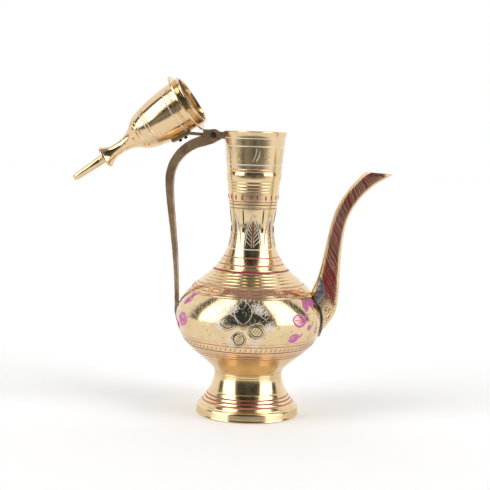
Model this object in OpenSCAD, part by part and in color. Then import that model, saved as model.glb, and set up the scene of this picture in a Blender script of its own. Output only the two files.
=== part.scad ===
// Lidded brass ewer: turned foot, bowl, shoulder and neck brazed into one vessel,
// a pressed two-half spout, a forged handle whose fork carries the hinge, and a turned lid.
// +Z is up, +X runs to the spout, and the origin is on the vessel's axis in the foot's plane.
// The lid is modelled shut and turned back about the hinge pin to where it rests open.

/* [Foot] */
// Radius of the foot at the table
foot_r = 37.6; // [30:0.2:46]
// Radius at the top of the foot's upright edge band
foot_edge_r = 36.8; // [29:0.2:45]
// Height of the foot's upright edge band
foot_edge_h = 6; // [3:0.5:10]
// Height of the waist above the table
foot_h = 30; // [24:1:40]
// Radius of the waist
waist_r = 24.7; // [18:0.1:30]
// Wall of the cast foot
foot_wall = 2; // [1.2:0.1:3]

/* [Bowl and shoulder] */
// Radius of the bowl where its underside flares fastest
flare_r = 33.2; // [28:0.2:40]
// Height of that place above the waist
flare_rise = 10; // [7:0.5:14]
// Radius of the bowl's underside below the belly
under_r = 47.6; // [42:0.2:54]
// Drop from the belly to that place
under_drop = 18; // [14:0.5:22]
// Radius of the belly
belly_r = 53.7; // [46:0.1:65]
// Height of the belly above the waist
belly_rise = 42; // [36:1:52]
// Radius of the shoulder where it slopes fastest
shoulder_r = 33.9; // [28:0.1:42]
// Height of that place above the belly
shoulder_rise = 28; // [22:1:36]
// Height of the braze line between bowl and shoulder above the belly
bowl_seam_rise = 19; // [14:0.5:24]
// Height of the braze line between shoulder and neck above the belly
neck_seam_rise = 49; // [44:0.5:54]
// Wall of the bowl, shoulder and neck
wall = 1.5; // [1:0.1:2.5]
// Thickness of the bowl's floor on the axis
floor_t = 2.2; // [1.5:0.1:4]

/* [Neck] */
// Radius of the throat, the narrowest place
throat_r = 15.5; // [12:0.1:20]
// Height of the throat above the place where the shoulder slopes fastest
throat_rise = 38; // [32:1:48]
// Radius of the neck above the throat
neck_r = 17.1; // [14:0.1:21]
// Height of that place above the throat
neck_rise = 12; // [8:0.5:18]
// Radius of the neck just under the lip
lip_r = 22; // [18:0.1:27]
// Height of the turned-out lip
lip_h = 4; // [2:0.5:7]
// Radius of the mouth's edge
mouth_r = 23; // [19:0.1:28]
// Length of the neck from throat to mouth
neck_h = 67; // [55:1:85]

/* [Spout] */
// Height of the middle of the spout's base above the belly's middle
spout_base_rise = 3.3; // [0:0.1:8]
// Height of the spout's base on the bowl
spout_base_h = 31; // [24:0.5:38]
// Width of the spout's base across the bowl
spout_base_w = 13; // [10:0.2:18]
// Width of the spout at its tip
spout_tip_w = 8.4; // [7:0.2:11]
// Reach of the spout's beak from the vessel's axis
spout_reach = 99; // [88:0.5:118]
// Height of the beak above the belly's middle
spout_rise = 105.6; // [90:0.5:126]
// Front to back thickness of the spout half way up
spout_t = 11.6; // [9.5:0.1:15]
// Wall of the pressed spout halves
spout_wall = 1.2; // [0.8:0.1:1.6]
// Radius of the pouring hole through the bowl
port_r = 5; // [3.5:0.1:5.8]

/* [Handle and hinge] */
// Distance of the hinge pin from the vessel's axis
pin_x = 30.2; // [28.5:0.1:38]
// Depth of the hinge pin under the mouth's edge
pin_drop = 3.6; // [2.6:0.1:5]
// Radius of the hinge pin
pin_r = 1.5; // [1.2:0.05:2]
// Radius of the pin's hammered heads
pin_head_r = 2.3; // [2.1:0.05:3]
// Height of each hammered head
pin_head_h = 0.5; // [0.3:0.1:1]
// Radial clearance of the pin in the strap's knuckle
pin_fit = 0.05; // [0.02:0.01:0.1]
// Width of the forged handle across the vessel
handle_w = 6.4; // [5.6:0.2:10]
// Width of the slot between the fork's cheeks
slot_w = 3; // [2.6:0.1:3.8]
// Radius of the fork's cheeks around the pin
boss_r = 4.6; // [4.2:0.1:5.4]
// Outward reach of the handle's bow, measured to its middle line
bow_reach = 61.7; // [54:0.1:76]
// Depth of the bow under the hinge pin
bow_drop = 33.5; // [26:0.5:44]
// Thickness of the handle at the bow
bow_t = 5.9; // [4.8:0.1:7.5]
// Thickness of the handle just above its foot
tail_t = 2.4; // [1.8:0.1:3.6]
// Height of the handle's foot above the belly's middle where it meets the bowl
tail_rise = 4.5; // [1:0.5:10]
// Length of the tapered end that lies on the bowl
tail_len = 9.5; // [6:0.5:16]

/* [Lid] */
// Angle through which the lid swings from rest to shut
swing = 124.7; // [110:0.1:128]
// Radius of the lid's flange
flange_r = 22.8; // [19:0.1:28]
// Thickness of the lid's flange
flange_t = 1.4; // [1:0.1:2]
// Gap left between the shut flange and the mouth
seat_gap = 0.1; // [0.05:0.05:0.3]
// Radius of the bell just above the flange
bell_r = 19; // [15:0.1:20]
// Radius of the bell half way up
bell_mid_r = 16.8; // [13:0.1:18]
// Height of that place above the flange's underside
bell_mid_h = 25; // [20:0.5:30]
// Radius of the bell where its crown begins
crown_r = 13.2; // [10:0.1:15]
// Height of that place below the bell's top
crown_drop = 13; // [10:0.5:16]
// Height of the bell above the flange's underside, up to the stem
bell_h = 52.4; // [45:0.1:63]
// Wall of the bell
bell_wall = 1.5; // [1:0.1:2.2]
// Radius of the stem
stem_r = 4.4; // [3.8:0.1:5.5]
// Length of the stem, up to its flared disc
stem_h = 19.6; // [15:0.1:24]
// Radius of the flared disc
disc_r = 8.3; // [6.5:0.1:10]
// Radius of the spike at its base
spike_r = 3.4; // [2.8:0.1:4]
// Radius of the spike near its end
spike_end_r = 2.7; // [2:0.1:3.2]
// Length of the spike
spike_h = 27; // [18:0.2:34]
// Radius of the spike's tenon in the stem
tenon_r = 1.8; // [1.2:0.1:2.2]
// Length of the spike's tenon
tenon_h = 9; // [5:0.5:12]
// Radius of the collar that drops into the mouth
collar_r = 18.6; // [15:0.1:20]
// Depth of the collar
collar_h = 4.5; // [3:0.1:8]
// Wall of the collar
collar_wall = 1.5; // [1:0.1:2]

/* [Strap and rivets] */
// Radius of the strap's knuckle around the pin
knuckle_r = 3.3; // [2.9:0.1:3.8]
// Side clearance of the knuckle in the fork
knuckle_side = 0.1; // [0.05:0.05:0.3]
// Thickness of the strap's arm
arm_t = 2.4; // [1.8:0.1:3]
// Height of the leaf's lower end above the flange's underside
leaf_low = 9.6; // [8:0.1:12]
// Length of the leaf on the bell
leaf_len = 14.6; // [12:0.2:18]
// Width of the leaf
leaf_w = 8; // [6:0.2:11]
// Thickness of the leaf
leaf_t = 1.8; // [1.2:0.1:2.4]
// Distance from the leaf's lower end to the first rivet
rivet_in = 4.6; // [3.6:0.1:6]
// Distance between the rivets
rivet_pitch = 4.4; // [3.8:0.1:5.5]
// Radius of the rivets
rivet_r = 0.9; // [0.6:0.05:1.2]
// Radius of the rivets' clenched outer ends
rivet_tail_r = 1.25; // [1:0.05:1.6]
// Height of the clenched outer ends
rivet_tail_h = 1.3; // [0.8:0.1:2]

/* [Hidden] */

$fn = 96;
step = 1.5;        // height of each turned facet of the vessel
joint_gap = 0.02;  // what a brazed or pressed joint leaves between its pieces
tiny = 0.05;       // clearance between curved pieces that are soldered together
bed = 0.3;         // clearance of faceted pieces that are bedded on the bowl

waist_z = foot_h;
seat_z = waist_z + 2;
flare_z = waist_z + flare_rise;
belly_z = waist_z + belly_rise;
under_z = belly_z - under_drop;
shoulder_z = belly_z + shoulder_rise;
bowl_seam_z = belly_z + bowl_seam_rise;
neck_seam_z = belly_z + neck_seam_rise;
throat_z = shoulder_z + throat_rise;
neck_z = throat_z + neck_rise;
mouth_z = throat_z + neck_h;
lip_z = mouth_z - lip_h;

// Turned outline: height, radius and slope (change of radius per unit of height) at its key places
KEYS = [[foot_edge_h, foot_edge_r, -1.0],
        [waist_z, waist_r, 0],
        [flare_z, flare_r, 1.12],
        [under_z, under_r, 0.70],
        [belly_z, belly_r, 0],
        [shoulder_z, shoulder_r, -1.28],
        [throat_z, throat_r, 0],
        [neck_z, neck_r, 0.11],
        [lip_z, lip_r, 0.10],
        [mouth_z, mouth_r, 0.30]];

// Cubic between two keys a and b at height z
function between(a, b, z) =
    let (h = b[0] - a[0], t = (z - a[0]) / h)
    (2*t*t*t - 3*t*t + 1) * a[1] + (t*t*t - 2*t*t + t) * h * a[2]
    + (3*t*t - 2*t*t*t) * b[1] + (t*t*t - t*t) * h * b[2];
// Outer radius of the vessel at height z
function vessel_r(z, i = 0) =
    z <= foot_edge_h ? foot_r + (foot_edge_r - foot_r) * z / foot_edge_h
    : i == len(KEYS) - 2 || z <= KEYS[i + 1][0] ? between(KEYS[i], KEYS[i + 1], z)
    : vessel_r(z, i + 1);
// Radius at height z of a surface that lies t under the outside
function inner_r(z, t) =
    let (slope = (vessel_r(z + 0.5) - vessel_r(z - 0.5)))
    vessel_r(z) - t * sqrt(1 + slope * slope);
// Heights from a to b, about one step apart
function heights(a, b) = let (n = max(1, round((b - a) / step))) [for (i = [0:n]) a + (b - a) * i / n];
function backwards(list) = [for (i = [len(list) - 1:-1:0]) list[i]];
// Straight-line blend from a to b
function mix(a, b, t) = a + (b - a) * t;

// ---- vessel -------------------------------------------------------------------------------

// Half section of a turned wall t thick, between heights a and b
function wall_outline(a, b, t) =
    let (z_list = heights(a, b))
    concat([for (z = z_list) [vessel_r(z), z]], [for (z = backwards(z_list)) [inner_r(z, t), z]]);

// Solid that fills the vessel's outside, grown by a clearance, between heights a and b
module vessel_core(a, b, grow) {
    rotate_extrude()
        polygon(concat([[0, a]], [for (z = heights(a, b)) [vessel_r(z) + grow, z]], [[0, b]]));
}

spigot_h = 3;
spigot_z = seat_z - spigot_h;
foot_bore_r = waist_r - foot_wall;
foot_rim_w = 4.2;

module foot() {
    outside = heights(foot_edge_h, seat_z);
    inside = heights(foot_edge_h, spigot_z);
    color("goldenrod") rotate_extrude()
        polygon(concat([[foot_r - 0.6 - foot_rim_w, 0], [foot_r - 0.6, 0], [foot_r, 0.8]],
                       [for (z = outside) [vessel_r(z), z]],
                       [[foot_bore_r, seat_z]],
                       [for (z = backwards(inside)) [z == spigot_z ? foot_bore_r : inner_r(z, foot_wall), z]]));
}

module bowl() {
    outside = heights(seat_z, bowl_seam_z);
    hollow = [for (z = outside) if (z > seat_z + floor_t + 1) z];
    spigot_r = foot_bore_r - joint_gap;
    color("gold") difference() {
        rotate_extrude()
            polygon(concat([[0, spigot_z], [spigot_r, spigot_z], [spigot_r, seat_z]],
                           [for (z = outside) [vessel_r(z), z]],
                           [for (z = backwards(hollow)) [inner_r(z, wall), z]],
                           [[0.6 * spigot_r, seat_z + floor_t], [0, seat_z + floor_t]]));
        translate([belly_r - 4 * wall, 0, spout_z]) rotate([0, 90, 0])
            cylinder(r = port_r, h = 8 * wall);
    }
}

module shoulder() {
    color("gold") rotate_extrude() polygon(wall_outline(bowl_seam_z, neck_seam_z, wall));
}

module neck() {
    color("goldenrod") rotate_extrude() polygon(wall_outline(neck_seam_z, mouth_z, wall));
}

// Fillet of braze inside the foot, in the corner under the bowl's spigot
module foot_solder() {
    leg = 2;
    color("silver") rotate_extrude()
        polygon([[foot_bore_r - leg, spigot_z - tiny],
                 [foot_bore_r - tiny, spigot_z - tiny],
                 [inner_r(spigot_z - leg, foot_wall) - tiny, spigot_z - leg]]);
}

// ---- spout --------------------------------------------------------------------------------

spout_z = belly_z + spout_base_rise;
beak_z = belly_z + spout_rise;
arc_steps = 12;      // facets round each pressed half
section_steps = 27;  // sections along the spout
flatness = 0.72;     // below 1 the sides are flatter than an ellipse

// Stations along the spout: reach and climb as fractions of the way to the beak, tilt of the
// section in degrees, what its half depth adds to half of spout_t, and fraction of the way from
// the base's width to the tip's
STATIONS = [[-0.135, 0.000, 102, spout_base_h / 2 - spout_t / 2, 0],
            [0.023, 0.122, 120, 8.1, 0.05],
            [0.074, 0.227, 130, 5.3, 0.20],
            [0.095, 0.334, 140, 2.7, 0.35],
            [0.128, 0.481, 151, 0.5, 0.55],
            [0.183, 0.633, 157, -0.4, 0.70],
            [0.277, 0.755, 152, -0.4, 0.82],
            [0.443, 0.870, 150, -0.3, 0.92],
            [0.625, 0.953, 159, 0.6, 1.00],
            [0.798, 1.006, 177, 3.6, 1.00]];

// Smooth curve through rows b and c of a table, with neighbours a and d
function through(a, b, c, d, t) =
    0.5 * (2*b + (c - a)*t + (2*a - 5*b + 4*c - d)*t*t + (3*b - a - 3*c + d)*t*t*t);
function station(u) =
    let (n = len(STATIONS) - 1, i = min(n - 1, floor(u * n)), t = u * n - i)
    through(STATIONS[max(0, i - 1)], STATIONS[i], STATIONS[i + 1], STATIONS[min(n, i + 2)], t);
// Signed power, which squares up a circle's cosine and sine
function squared(v) = sign(v) * pow(abs(v), flatness);
// Point at angle a round the section at u, grow outside the pressed skin (negative is inside)
function skin(u, a, grow) =
    let (s = station(u), half = spout_t / 2 + s[3] + grow,
         half_w = mix(spout_base_w, spout_tip_w, s[4]) / 2 + grow, along = half * squared(cos(a)))
    [mix(belly_r, spout_reach, s[0]) + along * cos(s[2]), half_w * squared(sin(a)),
     mix(spout_z, beak_z, s[1]) + along * sin(s[2])];
// The same point carried along X onto the bowl
function on_bowl(p) = let (r = vessel_r(p[2]) + bed) [sqrt(r * r - p[1] * p[1]), p[1], p[2]];
// Point at angle a of section i: the first section lies on the bowl and the next few stand off it
function spout_point(i, a, grow) =
    let (p = skin(i / section_steps, a, grow), b = on_bowl(p))
    i == 0 ? b : i > 6 ? p : [max(p[0], b[0] + 0.3 * i), p[1], p[2]];

// Skin of triangles through loops of count points; closed joins the last loop to the first
function sweep_faces(loops, count, closed) =
    [for (i = [0:loops - 2 + (closed ? 1 : 0)]) for (j = [0:count - 1])
        let (a = i * count + j, b = i * count + (j + 1) % count,
             c = ((i + 1) % loops) * count + (j + 1) % count, d = ((i + 1) % loops) * count + j)
        each [[a, b, c], [a, c, d]]];

// One pressed half: side is -1 for the front and 1 for the back
module spout_half(side) {
    count = 2 * (arc_steps + 1);
    last = section_steps * count;
    arc = [for (j = [0:arc_steps]) 180 * j / arc_steps];
    // The seam's two flat edges stand off the middle plane by half of joint_gap
    points = [for (i = [0:section_steps])
        each concat([for (a = arc) spout_point(i, a, 0)],
                    [for (a = backwards(arc)) spout_point(i, a, -spout_wall)])];
    seated = [for (p = points) [p[0], side * (p[1] + joint_gap / 2), p[2]]];
    caps = [for (j = [0:arc_steps - 1]) let (a = j, b = j + 1, c = count - 2 - j, d = count - 1 - j)
        each [[a, c, b], [a, d, c], [last + a, last + b, last + c], [last + a, last + c, last + d]]];
    faces = concat(sweep_faces(section_steps + 1, count, false), caps);
    polyhedron(seated, side > 0 ? faces : [for (f = faces) backwards(f)], convexity = 6);
}

module spout_front() { color("firebrick") spout_half(-1); }

module spout_back() { color("firebrick") spout_half(1); }

// Straight prism through the bowl's side, with the outline of the spout's section at u
module section_prism(u, grow) {
    translate([belly_r / 2, 0, 0]) rotate([90, 0, 90])
        linear_extrude(belly_r) polygon([for (a = [0:15:345]) let (p = skin(u, a, grow)) [p[1], p[2]]]);
}

// Bead of soft solder on the bowl round the spout's base; it is open where the spout's upper edge
// runs close along the shoulder
module spout_solder() {
    bead = 1.6;
    bead_t = 1.2;
    low = spout_z - spout_base_h;
    high = spout_z + spout_base_h;
    color("silver") difference() {
        intersection() {
            vessel_core(low, high, bead_t);
            section_prism(0, bead);
        }
        vessel_core(low - 1, high + 1, tiny);
        for (i = [0:2:6]) section_prism(i / section_steps, 2 * tiny);
    }
}

// ---- handle -------------------------------------------------------------------------------

pin_z = mouth_z - pin_drop;
tail_z = belly_z + tail_rise;
tail_end_z = tail_z - tail_len;
tail_end_t = 0.9;
arch_t = 8;           // depth of the handle where it leaves the fork
slot_floor = knuckle_r + 0.4;
slot_back = knuckle_r + 0.9;
slot_front = 16;      // reaches through the fork's open side
web_edge = [4.8, -3.2];  // from the pin, where the fork's underside turns towards the stub

arch = [-pin_x - 6.5, pin_z - 4.2];
bow = [-bow_reach, pin_z - bow_drop];
tail_x = -(vessel_r(tail_z) + tiny + tail_t / 2);
tail = [tail_x, tail_z];

// Point, and direction, of a cubic with end points a and d and handles b and c
function cubic(a, b, c, d, t) =
    let (s = 1 - t) s*s*s*a + 3*s*s*t*b + 3*s*t*t*c + t*t*t*d;
function heading(a, b, c, d, t) =
    let (s = 1 - t, v = s*s*(b - a) + 2*s*t*(c - b) + t*t*(d - c)) v / norm(v);
// Edge of a bent bar: side is 1 for its outer edge, and it thins from t0 to t1
function bar_edge(a, b, c, d, t0, t1, side, n) =
    [for (i = [0:n]) let (t = i / n, v = heading(a, b, c, d, t))
        cubic(a, b, c, d, t) + side * mix(t0, t1, t) / 2 * [v[1], -v[0]]];
function arch_edge(side) =
    bar_edge(arch, arch + [-13, -2.5], bow + [0, 15.5], bow, arch_t, bow_t, side, 12);
function grip_edge(side) =
    let (length = bow[1] - tail[1])
    bar_edge(bow, bow - [0, 0.21 * length], tail + [-0.7, 0.5 * length], tail + [0, 0.02 * length],
             bow_t, tail_t, side, 24);
function tail_thickness(z) = mix(tail_end_t, tail_t, (z - tail_end_z) / tail_len);
function on_wall(z) = -(vessel_r(z) + tiny);

stop_gap = 0.15;      // what the resting flange leaves over the cheeks' shoulder
stub_top = min(2.7, pin_drop - 0.4);
stub_low = -1.2;
stub_end = [pin_x + on_wall(pin_z + stub_low), stub_low];
// Place, from the pin, of a point of the shut lid once the lid lies open
function opened(x, z) = [x * cos(swing) - z * sin(swing), x * sin(swing) + z * cos(swing)];

// Fork seen from the side, round the pin: cheeks, the shoulder that the open lid's flange rests
// against, and the stub that is soldered to the neck
module fork_outline() {
    edge_x = pin_x - flange_r - stop_gap;
    edge_z = mouth_z + seat_gap - pin_z;
    translate([-pin_x, pin_z])
        polygon([[-7.2, -0.6], opened(edge_x, edge_z + 0.8), opened(edge_x, edge_z - 0.6),
                 [-3.6, boss_r - 0.6], [-1.2, boss_r - 0.2], [1.5, boss_r - 0.4],
                 [4.6, stub_top], [pin_x + on_wall(pin_z + stub_top), stub_top],
                 stub_end, web_edge, [0, -6], [-5.9, -8.1]]);
}

module bar_outline() {
    tail_heights = backwards(heights(tail_end_z, tail_z));
    polygon(concat(arch_edge(1), grip_edge(1),
                   [for (z = tail_heights) [on_wall(z) - tail_thickness(z), z]],
                   [for (z = backwards(tail_heights)) [on_wall(z), z]],
                   backwards(grip_edge(-1)), backwards(arch_edge(-1))));
}

module across(width) { rotate([90, 0, 0]) linear_extrude(width, center = true) children(); }

// Cylinder on the hinge's axis
module on_pin(r, h) { translate([-pin_x, 0, pin_z]) rotate([90, 0, 0]) cylinder(r = r, h = h, center = true); }

module handle() {
    color("saddlebrown") difference() {
        union() {
            across(handle_w) bar_outline();
            across(handle_w) fork_outline();
            on_pin(boss_r, handle_w);
        }
        translate([-pin_x - slot_front, -slot_w / 2, pin_z - slot_floor])
            cube([slot_front + slot_back, slot_w, 4 * boss_r]);
        on_pin(pin_r + joint_gap, 2 * handle_w);
    }
}

// Pad of solder round the stub, on the neck
module handle_top_solder() {
    pad_t = 1.3;
    pad_w = handle_w + 2;
    pad_low = -2.6;
    pad_top = stub_top + 0.1;
    x0 = -vessel_r(pin_z + pad_low) - pad_t;
    color("silver") difference() {
        translate([x0, -pad_w / 2, pin_z + pad_low]) cube([3 * pad_t, pad_w, pad_top - pad_low]);
        across(handle_w + 2 * tiny) translate([-pin_x, pin_z])
            polygon([[2, stub_top + tiny], [pin_x, stub_top + tiny], [pin_x, stub_low - tiny],
                     stub_end - [0, tiny], web_edge - [0, tiny], [2, -4.8]]);
        vessel_core(pin_z - 6, mouth_z, tiny);
    }
}

// Solder that beds the handle's tapered foot on the bowl
module handle_foot_solder() {
    low = tail_end_z - 1.5;
    high = tail_z + 3;
    side = 1.5;
    bed_t = 1;
    color("silver") difference() {
        intersection() {
            vessel_core(low, high, bed_t);
            translate([-belly_r - 5, -handle_w / 2 - side, low])
                cube([belly_r, handle_w + 2 * side, high - low]);
        }
        vessel_core(low - 1, high + 1, tiny);
        translate([-2 * belly_r, -handle_w / 2 - tiny, tail_end_z - tiny])
            cube([2 * belly_r, handle_w + 2 * tiny, tail_len + 6]);
    }
}

module hinge_pin() {
    color("dimgray") translate([-pin_x, 0, pin_z]) rotate([90, 0, 0]) union() {
        cylinder(r = pin_r, h = handle_w, center = true);
        for (side = [-1, 1])
            translate([0, 0, side * (handle_w + pin_head_h) / 2])
                cylinder(r = pin_head_r, h = pin_head_h, center = true);
    }
}

// ---- lid ----------------------------------------------------------------------------------
// Drawn shut, with heights above the flange's underside

lid_z = mouth_z + seat_gap;
disc_z = bell_h + stem_h;
disc_t = 2;
cavity_h = bell_h - crown_drop + 4;

LID_KEYS = [[flange_t, bell_r, -0.08],
            [bell_mid_h, bell_mid_r, -0.17],
            [bell_h - crown_drop, crown_r, -0.42],
            [bell_h - crown_drop / 2 - 0.2, mix(stem_r, crown_r, 0.54), -0.95],
            [bell_h, stem_r + 1.2, -0.3],
            [bell_h + 6.5, stem_r, 0],
            [disc_z - 7.5, stem_r + 0.2, 0.12],
            [disc_z, disc_r, 0.8]];

function bell_outer(h, i = 0) =
    i == len(LID_KEYS) - 2 || h <= LID_KEYS[i + 1][0] ? between(LID_KEYS[i], LID_KEYS[i + 1], h)
    : bell_outer(h, i + 1);
function bell_inner(h) =
    let (slope = bell_outer(h + 0.5) - bell_outer(h - 0.5))
    bell_outer(h) - bell_wall * sqrt(1 + slope * slope);

// Turns what is drawn shut back about the pin, to where the lid rests
module at_rest() {
    translate([-pin_x, 0, pin_z]) rotate([0, -swing, 0]) translate([pin_x, 0, lid_z - pin_z]) children();
}

// Solid that fills the bell's outside, grown by a clearance
module bell_core(grow) {
    rotate_extrude()
        polygon(concat([[0, flange_t]],
                       [for (h = heights(flange_t, bell_h)) [bell_outer(h) + grow, h]], [[0, bell_h]]));
}

// Row of two rivet shanks along the wall's outward direction, from depth a to height b of the wall
module rivet_row(r, a, b) {
    for (i = [0, 1]) {
        h = leaf_low + rivet_in + i * rivet_pitch;
        translate([-bell_outer(h), 0, h])
            rotate([0, -90 + atan(bell_outer(h - 0.5) - bell_outer(h + 0.5)), 0])
                translate([0, 0, a]) cylinder(r = r, h = b - a, $fn = 32);
    }
}

module lid_bell() {
    hollow = backwards(heights(flange_t, cavity_h));
    bore_r = collar_r - collar_wall;
    color("gold") at_rest() difference() {
        rotate_extrude()
            polygon(concat([[bore_r, 0], [flange_r - 0.3, 0], [flange_r, 0.3], [flange_r, flange_t - 0.3],
                            [flange_r - 0.3, flange_t]],
                           [for (h = heights(flange_t, disc_z)) [bell_outer(h), h]],
                           [[disc_r, disc_z + 1], [spike_r + 1, disc_z + disc_t],
                            [tenon_r + joint_gap, disc_z + disc_t],
                            [tenon_r + joint_gap, disc_z + disc_t - tenon_h - 0.5],
                            [0, disc_z + disc_t - tenon_h - 0.5], [0, cavity_h + 2]],
                           [for (h = hollow) [bell_inner(h), h]]));
        rivet_row(rivet_r + joint_gap, -2 * bell_wall, 2);
    }
}

// Plug ring soldered under the flange; its rolled end is a little thicker
module lid_collar() {
    roll = 0.4;
    color("goldenrod") at_rest() rotate_extrude()
        polygon([[collar_r - collar_wall, -joint_gap], [collar_r, -joint_gap],
                 [collar_r, -collar_h + 1.6], [collar_r + roll, -collar_h + 1.1],
                 [collar_r + roll, -collar_h + 0.4], [collar_r, -collar_h],
                 [collar_r - collar_wall + 0.3, -collar_h], [collar_r - collar_wall, -collar_h + 0.3]]);
}

module lid_spike() {
    z0 = disc_z + disc_t;
    foot_h = 1.2;
    color("gold") at_rest() rotate_extrude()
        polygon([[0, z0 - tenon_h], [tenon_r, z0 - tenon_h], [tenon_r, z0], [spike_r + 0.4, z0],
                 [spike_r + 0.4, z0 + foot_h], [spike_r - 0.1, z0 + foot_h + 0.6],
                 [spike_r, z0 + foot_h + 1.2], [mix(spike_r, spike_end_r, 0.5), z0 + 0.45 * spike_h],
                 [spike_end_r, z0 + spike_h - 3.4], [spike_end_r - 0.7, z0 + spike_h], [0, z0 + spike_h]]);
}

// ---- strap and rivets ---------------------------------------------------------------------

module lid_strap() {
    knuckle_w = slot_w - 2 * knuckle_side;
    pin = [-pin_x, pin_z - lid_z];
    reach = [-(bell_outer(leaf_low) + leaf_t / 2), leaf_low + 1];
    run = (reach - pin) / norm(reach - pin);
    edge = arm_t / 2 * [-run[1], run[0]];
    leaf = heights(leaf_low, leaf_low + leaf_len);
    color("darkkhaki") at_rest() difference() {
        union() {
            translate([pin[0], 0, pin[1]]) rotate([90, 0, 0])
                cylinder(r = knuckle_r, h = knuckle_w, center = true);
            across(knuckle_w) polygon([pin - edge, pin + edge, reach + edge, reach - edge]);
            across(leaf_w)
                polygon(concat([for (h = leaf) [-bell_outer(h) - leaf_t, h]],
                               [for (h = backwards(leaf)) [-bell_outer(h) + 2, h]]));
        }
        bell_core(tiny);
        translate([pin[0], 0, pin[1]]) rotate([90, 0, 0])
            cylinder(r = pin_r + pin_fit, h = 4 * handle_w, center = true);
        rivet_row(rivet_r + joint_gap, -2 * bell_wall, 3 * leaf_t);
    }
}

// Two rivets, headed inside the bell and clenched outside the leaf
module strap_rivets() {
    head_h = 0.7;
    outside = leaf_t + 0.15;
    inside = -bell_wall - 0.15;
    color("black") at_rest() union() {
        rivet_row(rivet_r, inside - head_h, outside + rivet_tail_h);
        rivet_row(rivet_tail_r, outside, outside + rivet_tail_h);
        rivet_row(1.7 * rivet_r, inside - head_h, inside);
    }
}

foot();
bowl();
shoulder();
neck();
foot_solder();
spout_front();
spout_back();
spout_solder();
handle();
handle_top_solder();
handle_foot_solder();
hinge_pin();
lid_bell();
lid_collar();
lid_spike();
lid_strap();
strap_rivets();
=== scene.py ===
"""Lidded brass ewer: turned and engraved vessel, chased spout, forged handle and hinged lid.

Lengths are metres and angles degrees. Heights are above the foot's plane, and angles round the
vessel start at the front (-Y) and grow towards the spout (+X).
"""

import math
import random

import bmesh
import bpy
import numpy as np
from mathutils import Matrix, Vector, noise


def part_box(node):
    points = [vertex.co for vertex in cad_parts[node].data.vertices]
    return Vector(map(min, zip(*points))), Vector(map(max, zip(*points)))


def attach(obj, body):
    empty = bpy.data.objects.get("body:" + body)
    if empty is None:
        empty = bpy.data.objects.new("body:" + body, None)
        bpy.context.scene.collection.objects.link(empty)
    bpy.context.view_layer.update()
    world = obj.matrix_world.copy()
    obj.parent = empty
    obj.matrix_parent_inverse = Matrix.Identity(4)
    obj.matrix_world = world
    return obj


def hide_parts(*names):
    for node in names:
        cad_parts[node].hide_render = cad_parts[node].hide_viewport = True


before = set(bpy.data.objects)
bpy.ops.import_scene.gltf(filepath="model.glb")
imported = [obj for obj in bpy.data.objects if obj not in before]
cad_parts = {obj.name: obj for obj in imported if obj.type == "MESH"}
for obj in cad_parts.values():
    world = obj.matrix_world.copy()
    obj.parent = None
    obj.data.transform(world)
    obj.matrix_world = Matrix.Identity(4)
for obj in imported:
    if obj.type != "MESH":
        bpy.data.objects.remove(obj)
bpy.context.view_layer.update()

# ---- Foot ---------------------------------------------------------------------------------
# A trumpet foot, cast in brass and turned inside and out. It stands on a flat ring, and three
# red lines with a row of dashes between two of them run round its swell.

MM = 0.001
foot_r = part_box("foot")[1].x
belly_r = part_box("bowl")[1].x
mouth_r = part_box("neck")[1].x
mouth_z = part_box("neck")[1].z
seat_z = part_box("foot")[1].z
bowl_seam_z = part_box("bowl")[1].z
neck_seam_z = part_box("neck")[0].z

WAIST_R = 0.0247
# Height, radius and slope at the key places of the vessel's outline
OUTLINE = [
    (0.006, 0.0368, -1.0), (0.030, WAIST_R, 0), (0.040, 0.0332, 1.12), (0.054, 0.0476, 0.70),
    (0.072, belly_r, 0), (0.100, 0.0339, -1.28), (0.138, 0.0155, 0), (0.150, 0.0171, 0.11),
    (0.201, 0.0220, 0.10), (mouth_z, mouth_r, 0.30),
]
WALL = 0.0015
FOOT_WALL = 0.002

# Colours in the cuts, most of them wax and some painted light: red, green, blue and how much of the cut
# they fill
BARE = (0.5, 0.5, 0.5, 0.0)
CRIMSON = (0.30, 0.008, 0.018, 1.0)
RED = (0.42, 0.035, 0.04, 0.85)
ROSE = (0.50, 0.10, 0.12, 0.55)
DARK = (0.05, 0.035, 0.025, 0.85)
# Painted glint: a whitish fill that stands in for the shine of freshly cut rings, not a wax
PAINTED_GLINT = (0.82, 0.79, 0.74, 0.75)


def along_keys(keys, z):
    """Radius at height z of a smooth outline through its key places."""
    for (za, ra, sa), (zb, rb, sb) in zip(keys, keys[1:]):
        if z <= zb or zb == keys[-1][0]:
            h = zb - za
            t = (z - za) / h
            rise = (2 * t - 3) * t * t
            return (1 + rise) * ra - rise * rb + h * t * (1 - t) * ((1 - t) * sa - t * sb)


def vessel_r(z):
    if z <= OUTLINE[0][0]:
        return foot_r + (OUTLINE[0][1] - foot_r) * z / OUTLINE[0][0]
    return along_keys(OUTLINE, z)


def inner_r(z, wall):
    slope = (vessel_r(z + 0.0005) - vessel_r(z - 0.0005)) / 0.001
    return vessel_r(z) - wall * math.hypot(1, slope)


def turned_line(radius, low, high, rings=(), step=0.0006):
    """Points (radius, height, fill) up a turned outline, with a cut for each ring: height, width,
    depth (a negative depth is a raised bead) and fill, the colour of wax or of a painted glint."""
    count = max(2, round((high - low) / step))
    heights = {low + (high - low) * i / count for i in range(count + 1)}
    for z, width, _, _ in rings:
        heights.update(z + width * f for f in (-0.5, -0.36, -0.18, 0, 0.18, 0.36, 0.5))
    line = []
    for z in sorted(h for h in heights if low <= h <= high):
        cut, wax_and_painted_light = 0.0, BARE
        for centre, width, depth, colour in rings:
            off = abs(z - centre) / (width / 2)
            if off <= 1.0001:
                cut += depth * (1 - off * off)
                if off < 0.9:
                    wax_and_painted_light = colour
        line.append((radius(z) - cut, z, wax_and_painted_light))
    return line


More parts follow.
